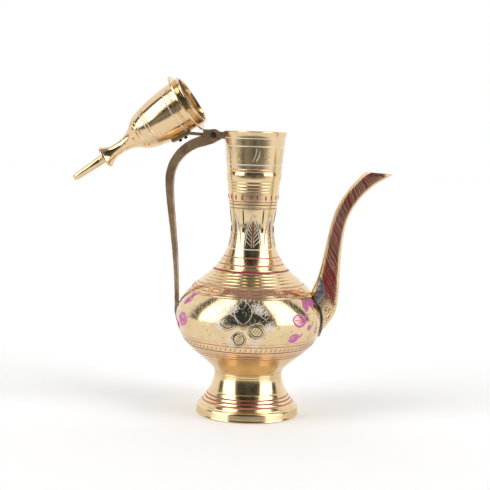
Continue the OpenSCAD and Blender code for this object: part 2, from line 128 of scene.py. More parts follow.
def feed(tree, node, inputs):
    """Gives a node its inputs: each is (socket, value or another node's output)."""
    for socket, value in inputs:
        if isinstance(value, bpy.types.NodeSocket):
            tree.links.new(value, node.inputs[socket])
        else:
            node.inputs[socket].default_value = value


def new_node(tree, kind, inputs=(), **settings):
    made = tree.nodes.new(kind)
    for key, value in settings.items():
        setattr(made, key, value)
    feed(tree, made, inputs)
    return made


def calculated(tree, operation, *values):
    """Output of a math node that works on the values."""
    return new_node(tree, "ShaderNodeMath", list(enumerate(values)), operation=operation).outputs[0]


def turning_nodes():
    """Geometry Nodes that turn an outline, a chain of points in the XZ plane, about the Z axis."""
    tree = bpy.data.node_groups.new("turned_on_the_lathe", "GeometryNodeTree")
    for name, kind in (("Outline", "Geometry"), ("Facets", "Int"), ("Finish", "Material")):
        tree.interface.new_socket(name, in_out="INPUT", socket_type="NodeSocket" + kind)
    tree.interface.new_socket("Turned", in_out="OUTPUT", socket_type="NodeSocketGeometry")
    given = tree.nodes.new("NodeGroupInput").outputs
    count = new_node(tree, "GeometryNodeAttributeDomainSize", [("Geometry", given["Outline"])])
    row = calculated(tree, "ADD", given["Facets"], 1.0)
    grid = new_node(tree, "GeometryNodeMeshGrid",
                    [("Vertices X", count.outputs["Point Count"]), ("Vertices Y", row)])
    index = tree.nodes.new("GeometryNodeInputIndex").outputs[0]
    step = calculated(tree, "FLOOR", calculated(tree, "DIVIDE", index, row))
    facet = calculated(tree, "DIVIDE", math.tau, given["Facets"])
    angle = calculated(tree, "MULTIPLY", calculated(tree, "MODULO", index, row), facet)
    place = tree.nodes.new("GeometryNodeInputPosition").outputs[0]
    point = new_node(tree, "GeometryNodeSampleIndex", data_type="FLOAT_VECTOR")
    wax_and_painted_light = new_node(tree, "GeometryNodeInputNamedAttribute", [("Name", "wax_and_painted_light")], data_type="FLOAT_COLOR")
    fill_there = new_node(tree, "GeometryNodeSampleIndex", data_type="FLOAT_COLOR")
    for sample, value in ((point, place), (fill_there, wax_and_painted_light.outputs["Attribute"])):
        tree.links.new(given["Outline"], sample.inputs["Geometry"])
        tree.links.new(value, sample.inputs["Value"])
        tree.links.new(step, sample.inputs["Index"])
    spun = new_node(tree, "ShaderNodeVectorRotate",
                    [("Vector", point.outputs[0]), ("Angle", angle)], rotation_type="Z_AXIS")
    solid = new_node(tree, "GeometryNodeSetPosition",
                     [("Geometry", grid.outputs["Mesh"]), ("Position", spun.outputs[0])])
    coloured = new_node(
        tree, "GeometryNodeStoreNamedAttribute",
        [("Geometry", solid.outputs[0]), ("Name", "wax_and_painted_light"), ("Value", fill_there.outputs[0])],
        data_type="FLOAT_COLOR", domain="POINT",
    )
    height = new_node(tree, "ShaderNodeSeparateXYZ", [("Vector", point.outputs[0])]).outputs["Z"]
    lined = new_node(tree, "GeometryNodeStoreNamedAttribute",
                     [("Geometry", coloured.outputs[0]), ("Name", "up_axis"), ("Value", height)],
                     data_type="FLOAT", domain="POINT")
    closed = new_node(tree, "GeometryNodeMergeByDistance",
                      [("Geometry", lined.outputs[0]), ("Distance", 1e-6)])
    real = new_node(tree, "GeometryNodeRealizeInstances", [("Geometry", closed.outputs[0])])
    done = new_node(tree, "GeometryNodeSetMaterial",
                    [("Geometry", real.outputs[0]), ("Material", given["Finish"])])
    new_node(tree, "NodeGroupOutput", [("Turned", done.outputs[0])])
    return tree


TURNED = turning_nodes()


def placed(name, data):
    """Object in the scene, at the origin."""
    piece = bpy.data.objects.new(name, data)
    bpy.context.scene.collection.objects.link(piece)
    return piece


def made_plain(piece):
    """Gives the piece the mesh that its modifiers make, and removes them."""
    evaluated = piece.evaluated_get(bpy.context.evaluated_depsgraph_get())
    result = bpy.data.meshes.new_from_object(evaluated)
    piece.modifiers.clear()
    piece.data = result
    result.name = piece.name
    return result


def grown(name, mesh, tree, values):
    """Object made by running a Geometry Nodes tree on mesh, left as a plain closed mesh."""
    piece = placed(name, mesh)
    modifier = piece.modifiers.new(tree.name, "NODES")
    modifier.node_group = tree
    for socket in tree.interface.items_tree:
        if socket.in_out == "INPUT" and socket.name in values:
            modifier[socket.identifier] = values[socket.name]
    made_plain(piece)
    return piece


def faced(piece, crease=38):
    """Turns all faces outwards and shades them smooth, with an edge kept where they meet sharply."""
    work = bmesh.new()
    work.from_mesh(piece.data)
    bmesh.ops.recalc_face_normals(work, faces=work.faces)
    work.to_mesh(piece.data)
    work.free()
    piece.data.shade_smooth()
    piece.data.set_sharp_from_angle(angle=math.radians(crease))
    return piece


def turned(name, line, finish, facets=192):
    """Turned piece with the outline line, a list of (radius, height, fill); a fill is wax or painted glint.
    """
    chain = bpy.data.meshes.new(name)
    chain.from_pydata([(r, 0, z) for r, z, _ in line], [(i, i + 1) for i in range(len(line) - 1)], [])
    wax_and_painted_light = chain.attributes.new("wax_and_painted_light", "FLOAT_COLOR", "POINT")
    wax_and_painted_light.data.foreach_set("color", [value for *_, colour in line for value in colour])
    return faced(grown(name, chain, TURNED, {"Facets": facets, "Finish": finish}))


def ramp(tree, value, start=0.0, end=1.0, low=0.0, high=1.0, **settings):
    """Value carried from the range start to end over to the range low to high."""
    inputs = [("Value", value), ("From Min", start), ("From Max", end), ("To Min", low), ("To Max", high)]
    return new_node(tree, "ShaderNodeMapRange", inputs, **settings).outputs[0]


def blended(tree, share, first, second, colours=False):
    """Number or colour that goes from first to second as the share goes from 0 to 1."""
    if colours:
        return new_node(tree, "ShaderNodeMix", [(0, share), (6, first), (7, second)],
                        data_type="RGBA").outputs[2]
    return new_node(tree, "ShaderNodeMix", [(0, share), (2, first), (3, second)]).outputs[0]


def speckle(tree, place, scale, detail=2.0):
    """Cloudy noise, with spots about 1 / scale metres across."""
    return new_node(tree, "ShaderNodeTexNoise",
                    [("Vector", place), ("Scale", scale), ("Detail", detail)]).outputs["Fac"]


def brass_group():
    """Shader group for worn brass: the metal's tone, its roughness, and the fine lines and dents
    that its surface keeps. Turned is how strongly the lathe's lines show."""
    tree = bpy.data.node_groups.new("worn_brass", "ShaderNodeTree")
    for name, kind, value in (
        ("Tone", "Color", (0.80, 0.60, 0.34, 1)), ("Tarnish", "Color", (0.33, 0.22, 0.10, 1)),
        ("Spread", "Float", 0.25), ("Smooth", "Float", 0.1), ("Turned", "Float", 1.0),
    ):
        socket = tree.interface.new_socket(name, in_out="INPUT", socket_type="NodeSocket" + kind)
        socket.default_value = value
    for name, kind in (("Color", "Color"), ("Roughness", "Float"), ("Height", "Float")):
        tree.interface.new_socket(name, in_out="OUTPUT", socket_type="NodeSocket" + kind)
    given = tree.nodes.new("NodeGroupInput").outputs
    place = tree.nodes.new("ShaderNodeTexCoord").outputs["Object"]
    axis = new_node(tree, "ShaderNodeAttribute", attribute_name="up_axis").outputs["Fac"]
    lines = new_node(tree, "ShaderNodeTexNoise", [("W", axis), ("Scale", 2600.0), ("Detail", 2.0)],
                     noise_dimensions="1D")
    clouds = speckle(tree, place, 70.0, 5.0)
    specks = speckle(tree, place, 900.0, 3.0)
    dull = calculated(tree, "MULTIPLY", ramp(tree, clouds, 0.48, 0.75), given["Spread"])
    tone = blended(tree, dull, given["Tone"], given["Tarnish"], colours=True)
    grain = calculated(tree, "MULTIPLY", specks, 0.09)
    rough = calculated(tree, "ADD", given["Smooth"], calculated(tree, "MULTIPLY_ADD", dull, 0.35, grain))
    cut = calculated(tree, "MULTIPLY", lines.outputs["Fac"], given["Turned"])
    height = calculated(tree, "MULTIPLY_ADD", specks, 0.25, cut)
    new_node(tree, "NodeGroupOutput", [("Color", tone), ("Roughness", rough), ("Height", height)])
    return tree


WORN_BRASS = brass_group()


def new_finish(name):
    """Material of that name, with its node tree and its shader."""
    finish = bpy.data.materials.new(name)
    finish.use_nodes = True
    return finish, finish.node_tree, finish.node_tree.nodes["Principled BSDF"]


def dented(tree, height, depth):
    return new_node(tree, "ShaderNodeBump", [("Height", height), ("Distance", depth)]).outputs[0]


def polished_brass(name, **values):
    """Turned and polished brass. Where its attribute says so, it takes coloured wax, a painted glint or
    painted shade.
    """
    finish, tree, shader = new_finish(name)
    metal = new_node(tree, "ShaderNodeGroup", node_tree=WORN_BRASS)
    feed(tree, metal, values.items())
    wax_and_painted_light = new_node(tree, "ShaderNodeAttribute", attribute_name="wax_and_painted_light").outputs
    filled = wax_and_painted_light["Alpha"]
    feed(tree, shader, [
        ("Base Color", blended(tree, filled, metal.outputs["Color"], wax_and_painted_light["Color"], colours=True)),
        ("Roughness", blended(tree, filled, metal.outputs["Roughness"], 0.38)),
        ("Metallic", ramp(tree, filled, low=1.0, high=0.1)),
        ("Normal", dented(tree, metal.outputs["Height"], 0.00002)),
    ])
    return finish


BRASS = polished_brass("polished_brass")
foot_rings = [
    (0.0178, 0.0007, 0.00020, BARE), (0.0146, 0.0008, 0.00018, CRIMSON),
    (0.0124, 0.0008, 0.00018, CRIMSON), (0.0101, 0.0009, 0.00020, RED), (0.0071, 0.0010, 0.00028, BARE),
    (0.0281, 0.0007, 0.00020, BARE), (0.0294, 0.0007, 0.00020, BARE), (0.0311, 0.0009, 0.00026, BARE),
]
spigot_z = seat_z - 0.003
foot_bore_r = WAIST_R - FOOT_WALL
foot_line = [(foot_r - 0.0048, 0, BARE), (foot_r - 0.0010, 0, BARE), (foot_r - 0.0003, 0.0002, BARE),
             (foot_r, 0.0008, BARE)]
foot_line += turned_line(vessel_r, 0.0012, seat_z, foot_rings)
foot_line += [(foot_bore_r, seat_z, BARE), (foot_bore_r, spigot_z, BARE)]
foot_line += [(inner_r(z, FOOT_WALL), z, BARE) for z in np.linspace(spigot_z - 0.001, 0.006, 30)]
foot = turned("turned_foot", foot_line + foot_line[:1], BRASS)
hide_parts("foot")
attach(foot, "vessel")

# ---- Bowl, shoulder and neck --------------------------------------------------------------
# Three turned shells, brazed at rings that hide the joints. Their outside has lathe-cut lines,
# some filled with red wax, some pale with a painted glint, and a wide, slight bead in the middle of the
# neck.

bowl_rings = [
    (0.0463, 0.0008, 0.00020, RED), (0.0483, 0.0008, 0.00020, RED), (0.0500, 0.0007, 0.00018, ROSE),
    (0.0521, 0.0008, 0.00020, CRIMSON), (0.0569, 0.0008, 0.00018, RED), (0.0590, 0.0006, 0.00014, ROSE),
    (0.0898, 0.0006, 0.00012, ROSE), (0.0910, 0.0008, 0.00018, RED),
]
GROUND = 0.00014  # how far the engraved ground lies under the strokes' crests
FIT = 0.00002  # room round a spigot or tenon, and over the lid's collar
spigot_r = foot_bore_r - FIT
floor_z = seat_z + 0.0022
bowl_line = [(0, spigot_z, BARE), (spigot_r, spigot_z, BARE), (spigot_r, seat_z, BARE)]
bowl_line += turned_line(lambda z: vessel_r(z) - GROUND, seat_z, bowl_seam_z, bowl_rings)
bowl_line += [(inner_r(z, WALL), z, BARE) for z in np.linspace(bowl_seam_z, seat_z + 0.0036, 90)]
bowl_line += [(0.6 * spigot_r, floor_z, BARE), (0, floor_z, BARE)]
bowl = turned("turned_bowl", bowl_line, BRASS)

shoulder_rings = [
    (0.0963, 0.0010, 0.00024, ROSE),
    (0.0983, 0.0010, 0.00024, BARE), (0.1002, 0.0010, 0.00024, BARE), (0.1021, 0.0010, 0.00024, BARE),
    (0.1040, 0.0010, 0.00024, BARE), (0.1061, 0.0013, 0.00022, CRIMSON), (0.1103, 0.0008, 0.00018, RED),
    (0.1155, 0.0008, 0.00018, RED),
]
shoulder_line = turned_line(vessel_r, bowl_seam_z, neck_seam_z, shoulder_rings)
shoulder_line += [(inner_r(z, WALL), z, BARE) for z in np.linspace(neck_seam_z, bowl_seam_z, 40)]
shoulder = turned("turned_shoulder", shoulder_line + shoulder_line[:1], BRASS)

# The pale-filled neck rings carry a painted glint, not wax
neck_rings = [
    (0.1214, 0.0009, 0.00030, PAINTED_GLINT), (0.1505, 0.0007, 0.00018, DARK), (0.1530, 0.0008, 0.00022, DARK),
    (0.1550, 0.0007, 0.00018, RED), (0.1625, 0.0008, 0.00020, BARE), (0.1646, 0.0012, 0.00030, BARE),
    (0.1668, 0.0014, 0.00032, BARE), (0.1690, 0.0010, 0.00026, BARE), (0.1726, 0.0070, -0.00040, BARE),
    (0.1763, 0.0009, 0.00028, BARE), (0.1783, 0.0009, 0.00028, BARE), (0.1815, 0.0009, 0.00030, PAINTED_GLINT),
    (0.1946, 0.0009, 0.00030, PAINTED_GLINT), (0.2001, 0.0009, 0.00030, PAINTED_GLINT),
]
neck_line = turned_line(vessel_r, neck_seam_z, mouth_z - 0.0004, neck_rings)
neck_line += [(mouth_r - 0.0003, mouth_z - 0.0001, BARE), (mouth_r - 0.0007, mouth_z, BARE),
              (mouth_r - 0.0012, mouth_z - 0.0001, BARE)]
neck_line += [(inner_r(z, WALL), z, BARE) for z in np.linspace(mouth_z - 0.0006, neck_seam_z, 120)]
neck = turned("turned_neck", neck_line + neck_line[:1], BRASS)

for shell, node in ((bowl, "bowl"), (shoulder, "shoulder"), (neck, "neck")):
    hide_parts(node)
    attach(shell, "vessel")

# ---- Engraving ----------------------------------------------------------------------------
# Chased strokes on the belly and neck. Some are bright cuts, pale with a painted glint, and others are
# filled with coloured wax: green in the four petals, magenta in the flowers, red and brown in the borders'
# dashes.


def cutting_nodes():
    """Geometry Nodes that lay a lens-shaped stroke along each line of a mesh of edges."""
    tree = bpy.data.node_groups.new("cut_strokes", "GeometryNodeTree")
    for name, kind in (("Lines", "Geometry"), ("Crown", "Float"), ("Finish", "Material")):
        tree.interface.new_socket(name, in_out="INPUT", socket_type="NodeSocket" + kind)
    tree.interface.new_socket("Strokes", in_out="OUTPUT", socket_type="NodeSocketGeometry")
    given = tree.nodes.new("NodeGroupInput").outputs
    line = new_node(tree, "GeometryNodeMeshToCurve", [("Mesh", given["Lines"])])
    out = new_node(tree, "GeometryNodeInputNamedAttribute", [("Name", "out")], data_type="FLOAT_VECTOR")
    half = new_node(tree, "GeometryNodeInputNamedAttribute", [("Name", "half")], data_type="FLOAT")
    stood = new_node(tree, "GeometryNodeSetCurveNormal",
                     [("Curve", line.outputs[0]), ("Normal", out.outputs["Attribute"])], mode="FREE")
    ring = new_node(tree, "GeometryNodeCurvePrimitiveCircle", [("Resolution", 6), ("Radius", 1.0)])
    size = new_node(tree, "ShaderNodeCombineXYZ", [("X", given["Crown"]), ("Y", 1.0), ("Z", 1.0)])
    lens = new_node(tree, "GeometryNodeTransform",
                    [("Geometry", ring.outputs["Curve"]), ("Scale", size.outputs[0])])
    strokes = new_node(tree, "GeometryNodeCurveToMesh",
                       [("Curve", stood.outputs[0]), ("Profile Curve", lens.outputs[0]),
                        ("Scale", half.outputs["Attribute"]), ("Fill Caps", True)])
    real = new_node(tree, "GeometryNodeRealizeInstances", [("Geometry", strokes.outputs[0])])
    done = new_node(tree, "GeometryNodeSetMaterial",
                    [("Geometry", real.outputs[0]), ("Material", given["Finish"])])
    new_node(tree, "NodeGroupOutput", [("Strokes", done.outputs[0])])
    return tree


CUTTING = cutting_nodes()
CROWN = 0.5  # how high a stroke stands, as a share of half its width


def engraved(name, cuts, finish, body="vessel", matrix=Matrix()):
    """Strokes fixed on a body. A cut is a list of places with the outward way there, and a width."""
    lines = bpy.data.meshes.new(name)
    places, edges, ways, halves = [], [], [], []
    for points, width in cuts:
        start = len(places)
        for i, (place, way) in enumerate(points):
            places.append(place)
            ways.extend(way)
            halves.append(width / 2 * (0.5 + 0.5 * math.sin(math.pi * i / (len(points) - 1)) ** 0.5))
        edges.extend((i, i + 1) for i in range(start, len(places) - 1))
    lines.from_pydata(places, edges, [])
    lines.attributes.new("out", "FLOAT_VECTOR", "POINT").data.foreach_set("vector", ways)
    lines.attributes.new("half", "FLOAT", "POINT").data.foreach_set("value", halves)
    piece = faced(grown(name, lines, CUTTING, {"Crown": CROWN, "Finish": finish}), 60)
    piece.data.transform(matrix)
    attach(piece, body)


def lac(name, colour, shade, metallic=0.0):
    """Hard wax rubbed into the cuts: a coloured, half-glossy coat, thin and cracked in places. Also the
    bright cuts' painted glint.
    """
    finish, tree, shader = new_finish(name)
    place = tree.nodes.new("ShaderNodeTexCoord").outputs["Object"]
    clouds = speckle(tree, place, 260.0, 4.0)
    worn = ramp(tree, clouds, 0.35, 0.7)
    feed(tree, shader, [
        ("Base Color", blended(tree, worn, (*colour, 1), (*shade, 1), colours=True)),
        ("Roughness", ramp(tree, clouds, low=0.25, high=0.6)),
        ("Metallic", metallic),
        ("Normal", dented(tree, clouds, 0.00003)),
        ("Specular IOR Level", 0.3),
    ])
    return finish


CRIMSON_LAC = lac("crimson_lac", (0.34, 0.004, 0.022), (0.17, 0.004, 0.012))
RED_LAC = lac("red_lac", (0.52, 0.010, 0.050), (0.34, 0.010, 0.03))
GREEN_LAC = lac("green_lac", (0.004, 0.045, 0.032), (0.008, 0.018, 0.014))
MAGENTA_LAC = lac("magenta_lac", (0.56, 0.07, 0.38), (0.66, 0.24, 0.44))
DARK_LAC = lac("dark_lac", (0.03, 0.02, 0.014), (0.09, 0.05, 0.025))
# Painted glint: the bright cuts are coloured pale to stand in for the shine of their facets; no wax
GLINT_CUT = lac("painted_glint_cut", (0.84, 0.78, 0.69), (0.68, 0.57, 0.43), metallic=0.4)


def on_vessel(angle, z):
    """Place on the vessel's outside at an angle round it and a height, and the way out of it."""
    turn = math.radians(angle)
    slope = (vessel_r(z + 0.0005) - vessel_r(z - 0.0005)) / 0.001
    radius = vessel_r(z) - (GROUND if z < bowl_seam_z else 0)
    way = Vector((math.sin(turn), -math.cos(turn), -slope)).normalized()
    return Vector((radius * math.sin(turn), -radius * math.cos(turn), z)), way


def laid(lines, angle, z, width):
    """Lines drawn flat in millimetres, as complex numbers, laid on the vessel about a centre."""
    across = math.degrees(MM / vessel_r(z))
    return [([on_vessel(angle + p.real * across, z + p.imag * MM) for p in line], width)
            for line in lines]


def upstroke(angle, lean, low, rise, width, shares=(0, 0.5, 1)):
    """Straight stroke up the vessel from the height low, leaning by some degrees on its way."""
    return [on_vessel(angle + lean * t, low + rise * t) for t in shares], width


def turned_about(lines, centre, degrees):
    spin = complex(math.cos(math.radians(degrees)), math.sin(math.radians(degrees)))
    return [[centre + p * spin for p in line] for line in lines]


def oval(length, width, steps=11):
    """Pointed oval from 0 to length, as its two sides."""
    rise = [(t / steps, math.sin(math.pi * t / steps) ** 0.8 * width / 2) for t in range(steps + 1)]
    return [[complex(length * t, side * w) for t, w in rise] for side in (1, -1)]


def ribs(length, width, count, slant):
    """Lines across a pointed oval."""
    lines = []
    for i in range(1, count):
        t = i / count
        w = 0.85 * math.sin(math.pi * t) ** 0.8 * width / 2
        lines.append([length * t + complex(side * slant * w, side * w) for side in (-1, 0, 1)])
    return lines


def small_ring(radius):
    """Ring about 0, as its two halves."""
    return [[radius * complex(math.cos(t), math.sin(t)) for t in np.linspace(start, start + 3.1, 9)]
            for start in (0, math.pi)]


def zigzag(length, width, teeth):
    """Zigzag inside a pointed oval, one stroke from its root to its tip."""
    points = []
    for i in range(2 * teeth + 1):
        t = (i + 0.5) / (2 * teeth + 2)
        points.append(complex(length * t, (-1) ** i * 0.75 * math.sin(math.pi * t) * width / 2))
    return [[a + (b - a) * s / 3 for s in range(4)] for a, b in zip(points, points[1:])]


def curl(reach, bend, steps=7):
    """Open curve of that reach that bends by bend degrees."""
    line, heading = [0j], -bend / 2
    for i in range(steps):
        way = math.radians(heading + bend * i / (steps - 1))
        line.append(line[-1] + reach / steps * complex(math.cos(way), math.sin(way)))
    return [line]


hand = random.Random(11)
bright, green, magenta, dark_cut = [], [], [], []

# Two medallions: four petals on a small ring, a wreath of leaves, ticks round it, fronds and buds
MEDALLIONS = (3.5, 183.5)
MIDDLE_Z = 0.0720
PETALS = ((95, 10.8, 7.4, 3.2), (170, 11.6, 7.0, 6.2), (-20, 10.6, 6.8, 4.2), (250, 9.8, 7.8, 4.8))
LEAVES = 12
TICKS = 44
for angle in MEDALLIONS:
    for way, length, width, reach in PETALS:
        root = turned_about([[complex(reach, 0)]], 0j, way)[0][0]
        petal = turned_about(oval(length, width), root, way)
        green += laid(petal, angle, MIDDLE_Z, 0.00090)
        veins = turned_about(ribs(length, width, 6, 0.25), root, way)
        green += laid(veins, angle, MIDDLE_Z, 0.00066)
        shadow = turned_about(oval(length + 2.6, width + 2.8), root * 0.75, way)
        dark_cut += laid(shadow, angle, MIDDLE_Z, 0.00042)
        border = turned_about(oval(length + 5.2, width + 5.4), root * 0.5, way)
        bright += laid(border, angle, MIDDLE_Z, 0.00056)
        stem = [complex(reach - 1, 1.2), complex(reach + 3, 2.6), complex(reach + 6, 5.6)]
        green += laid(turned_about([stem], 0j, way + 38), angle, MIDDLE_Z, 0.00085)
    dark_cut += laid(small_ring(1.7), angle, MIDDLE_Z, 0.00055)
    dark_cut += laid([[complex(-0.8, -0.5), complex(0.9, 0.6)]], angle, MIDDLE_Z, 0.0007)
    for k in range(LEAVES):
        turn = 360 / LEAVES * k + 12
        root = complex(15.6 * math.cos(math.radians(turn)), 11.6 * math.sin(math.radians(turn)))
        way = turn + (70 if k % 2 else -64)
        bright += laid(turned_about(oval(8.2, 4.8), root, way), angle, MIDDLE_Z, 0.00056)
        bright += laid(turned_about(zigzag(8.2, 4.4, 3), root, way), angle, MIDDLE_Z, 0.00050)
        bright += laid(turned_about(curl(7.5, 110), root * 1.04, turn - 52), angle, MIDDLE_Z, 0.00042)
    for k in range(TICKS):
        turn = math.radians(k * 360 / TICKS)
        root = complex(25.5 * math.cos(turn), 16.4 * math.sin(turn))
        way = math.degrees(turn) + hand.uniform(-14, 14)
        tick = turned_about([[0j, 1.1 + 0j, 2.2 + 0.1j]], root, way)
        bright += laid(tick, angle, MIDDLE_Z, 0.00062)
    for root, way in ((complex(5.0, 15.0), -30), (complex(-7.0, 14.6), 212)):
        bright += laid(turned_about(zigzag(15, 7.5, 6), root, way), angle, MIDDLE_Z, 0.00066)
        bright += laid(turned_about(oval(15, 6.5), root, way)[:1], angle, MIDDLE_Z, 0.00056)
    for side in (-1, 1):
        for length, width, drop, stroke in ((8.6, 3.8, -4.2, 0.00062), (5.0, 1.4, -2.4, 0.00032)):
            bud = turned_about(oval(length, width), complex(19.6 * side, drop), 90)
            bright += laid(bud, angle, MIDDLE_Z, stroke)

# Flowers between the medallions, and lesser leaves above and below them
for angle, z, way, length, width in (
    (42, 0.0765, -12, 12.5, 8.0), (58, 0.0810, 62, 8.0, 4.2), (66, 0.0835, 30, 7.0, 3.6),
    (40, 0.0615, 22, 9.0, 4.8), (58, 0.0680, 40, 4.0, 2.0), (-62, 0.0725, -8, 13.0, 8.4),
    (-60, 0.0820, 40, 7.0, 2.6), (-68, 0.0630, 100, 6.0, 2.6), (-56, 0.0870, 30, 5.0, 2.0),
    (132, 0.0765, -12, 12.5, 8.0), (128, 0.0620, 22, 9.0, 4.8), (150, 0.0800, 50, 7.0, 3.6),
    (222, 0.0740, -8, 12.5, 8.0), (216, 0.0620, 30, 8.0, 4.0), (240, 0.0820, 40, 7.0, 3.0),
):
    veins = turned_about(ribs(length, width, round(length * 1.2), 0.4), 0j, way)
    heart = turned_about(oval(0.62 * length, 0.5 * width), 0.2 * length + 0j, way)
    border = turned_about(oval(length + 2.2, width + 2.4), -1.1 + 0j, way)
    tendril = turned_about(curl(5.0, 70), complex(length * 0.9, 1.5), way + 30)
    magenta += laid(turned_about(oval(length, width), 0j, way), angle, z, 0.00170)
    magenta += laid(veins, angle, z, 0.00066)
    dark_cut += laid(heart, angle, z, 0.00028)
    bright += laid(border, angle, z, 0.00030)
    magenta += laid(tendril, angle, z, 0.00100)



def covered(angle):
    """Whether the spout or the handle's foot stands on the belly there."""
    return 76 < angle < 104 or -95 < angle < -85


# Rings with ticks, then the fine strokes of the ground
GROUND_STROKES = 1500
SPRIGS = 170
for angle, z in ((70.6, 0.0664), (109.4, 0.0664), (-74, 0.0800)):
    dark_cut += laid(small_ring(1.9), angle, z, 0.00060)
    ticks = [[complex(-0.6, 4.4), complex(0.8, 2.6)], [complex(-2, 5), complex(-0.9, 5.6)]]
    dark_cut += laid(ticks, angle, z, 0.0006)
for k in range(GROUND_STROKES):
    angle, z = hand.uniform(-180, 180), hand.uniform(0.0595, 0.0890)
    if covered(angle):
        continue
    stroke = turned_about(curl(hand.uniform(0.7, 3.4), hand.uniform(-70, 70), 3), 0j, hand.uniform(20, 160))
    bright += laid(stroke, angle, z, hand.uniform(0.00014, 0.00028))
for k in range(SPRIGS):
    angle, z = hand.uniform(-180, 180), hand.uniform(0.0600, 0.0880)
    if covered(angle):
        continue
    stroke = turned_about(curl(hand.uniform(0.6, 1.8), 30, 3), 0j, hand.uniform(0, 180))
    dark_cut += laid(stroke, angle, z, hand.uniform(0.00030, 0.00055))
    sprig = turned_about(curl(hand.uniform(5, 9), hand.uniform(80, 200)), 0j, hand.uniform(0, 360))
    bright += laid(sprig, angle, z, 0.00024)

# Borders: red boxes above the belly, slanted dashes below it, dashes on the neck and the foot
red, brown = [], []
BOXES = 26
BOX_LOW, BOX_HIGH = 0.0926, 0.0947
BELLY_DASHES, FOOT_DASHES, NECK_DASHES, SHOULDER_DASHES = 84, 34, 20, 28
MOUTH_CUTS = 12
for k in range(BOXES):
    wide = 360 / BOXES * 0.34
    angle = k * 360 / BOXES + hand.uniform(-0.5, 0.5)
    if abs(angle - 90) > 12:
        for side in (-1, 1):
            red.append(upstroke(angle + side * wide, 0, BOX_LOW, BOX_HIGH - BOX_LOW, 0.00060,
                                (0, 1 / 3, 2 / 3, 1)))
        for z in (BOX_LOW, BOX_HIGH):
            red.append(([on_vessel(angle + wide * s / 4, z) for s in range(-4, 5)], 0.00065))
for k in range(BELLY_DASHES):
    angle = k * 360 / BELLY_DASHES
    brown.append(upstroke(angle, 1.5, 0.0530, 0.0026, 0.00060))
    bright.append(upstroke(angle + 2.1, 1.5, 0.0530, 0.0026, 0.00060))
for k in range(FOOT_DASHES):
    angle = k * 360 / FOOT_DASHES + hand.uniform(-0.8, 0.8)
    red.append(upstroke(angle, 0, 0.01295, 0.0012, 0.00060))
for k in range(NECK_DASHES):
    angle = 360 / NECK_DASHES * k + 1 + hand.uniform(-1.6, 1.6)
    lean = hand.uniform(-1.5, 1.5)
    low, high = 0.1564 + hand.uniform(0, 0.0005), 0.1600 + hand.uniform(-0.0004, 0.0004)
    red.append(upstroke(angle, lean, low, high - low, 0.00135, (0, 0.3, 0.6, 1)))
for k in range(SHOULDER_DASHES):
    angle = 360 / SHOULDER_DASHES * k + hand.uniform(-1.5, 1.5)
    red.append(upstroke(angle, 0, 0.1124, 0.0016, 0.00060))
for k in range(MOUTH_CUTS):
    angle = 360 / MOUTH_CUTS * k + 4
    if k % 2:
        for low in (0.1844, 0.1906):
            bright.append(upstroke(angle, 3, low, 0.0018, 0.00080))
    else:
        for shift, high in ((0, 0.1932), (6.5, 0.1915)):
            bowed = [on_vessel(angle + shift + 7 * t + 2 * math.sin(3.1 * t), 0.1838 + (high - 0.1838) * t)
                     for t in np.linspace(0, 1, 9)]
            bright.append((bowed, 0.00076))


def leaf_side(middle, side, width, low, high, steps=12):
    """One side of a pointed leaf that stands on the neck; width is half its width in degrees."""
    points = []
    for t in range(steps + 1):
        off = width * math.cos(0.5 * math.pi * t / steps) ** 0.8
        points.append(on_vessel(middle + side * off, low + (high - low) * t / steps))
    return points


# Seven pointed leaves round the waist of the neck, with green dashes and fine strokes between them
NECK_LEAVES = 7
LEAF_FOOT = 0.1226
NECK_STROKES = 260
for k in range(NECK_LEAVES):
    middle = 9 + 360 / NECK_LEAVES * k
    for width, high, stroke, cuts in ((22.5, 0.1480, 0.00062, bright), (18.5, 0.1452, 0.00056, bright),
                                      (20.5, 0.1466, 0.00036, dark_cut)):
        for side in (-1, 1):
            cuts.append((leaf_side(middle, side, width, 0.1228, high), stroke))
    for i in range(7):
        wide = 15.5 * (1 - i / 8.5)
        for side in (-1, 1):
            bright.append(upstroke(middle + 2.5 * side, wide * side, 0.1236 + 0.0028 * i, 0.0042, 0.00060,
                                   (0, 0.4, 0.75, 1)))
    brown.append(upstroke(middle, 0, LEAF_FOOT, 0.0194, 0.00150, np.linspace(0, 1, 9)))
    for side in (-1, 1):
        bright.append(upstroke(middle + 3.4 * side, -3.4 * side, LEAF_FOOT, 0.0200, 0.0006,
                               np.linspace(0, 1, 9)))
    for shift, low, high in ((25.7, 0.1395, 0.1500), (24.0, 0.1330, 0.1372), (27.6, 0.1330, 0.1372)):
        green.append(upstroke(middle + shift, 0, low, high - low, 0.00110, np.linspace(0, 1, 5)))
for k in range(NECK_STROKES):
    angle, z = hand.uniform(-180, 180), hand.uniform(0.1405, 0.1495)
    stroke = turned_about(curl(hand.uniform(0.6, 2.0), hand.uniform(-30, 30), 3), 0j, hand.uniform(60, 120))
    bright += laid(stroke, angle, z, hand.uniform(0.00010, 0.00018))

BROWN_LAC = lac("brown_lac", (0.30, 0.10, 0.03), (0.14, 0.05, 0.02))
# The bright strokes take the pale painted glint of bright cuts
for name, cuts, finish in (
    ("bright_engraving", bright, GLINT_CUT), ("green_lac_strokes", green, GREEN_LAC),
    ("magenta_lac_strokes", magenta, MAGENTA_LAC), ("dark_strokes", dark_cut, DARK_LAC),
    ("red_lac_dashes", red, RED_LAC), ("brown_lac_strokes", brown, BROWN_LAC),
):
    engraved(name, cuts, finish)

# ---- Spout --------------------------------------------------------------------------------
# Two pressed brass halves, joined along the spout's middle. Their sides are chased with close
# slanted strokes in crimson and black wax between plain borders, over a painted shade.

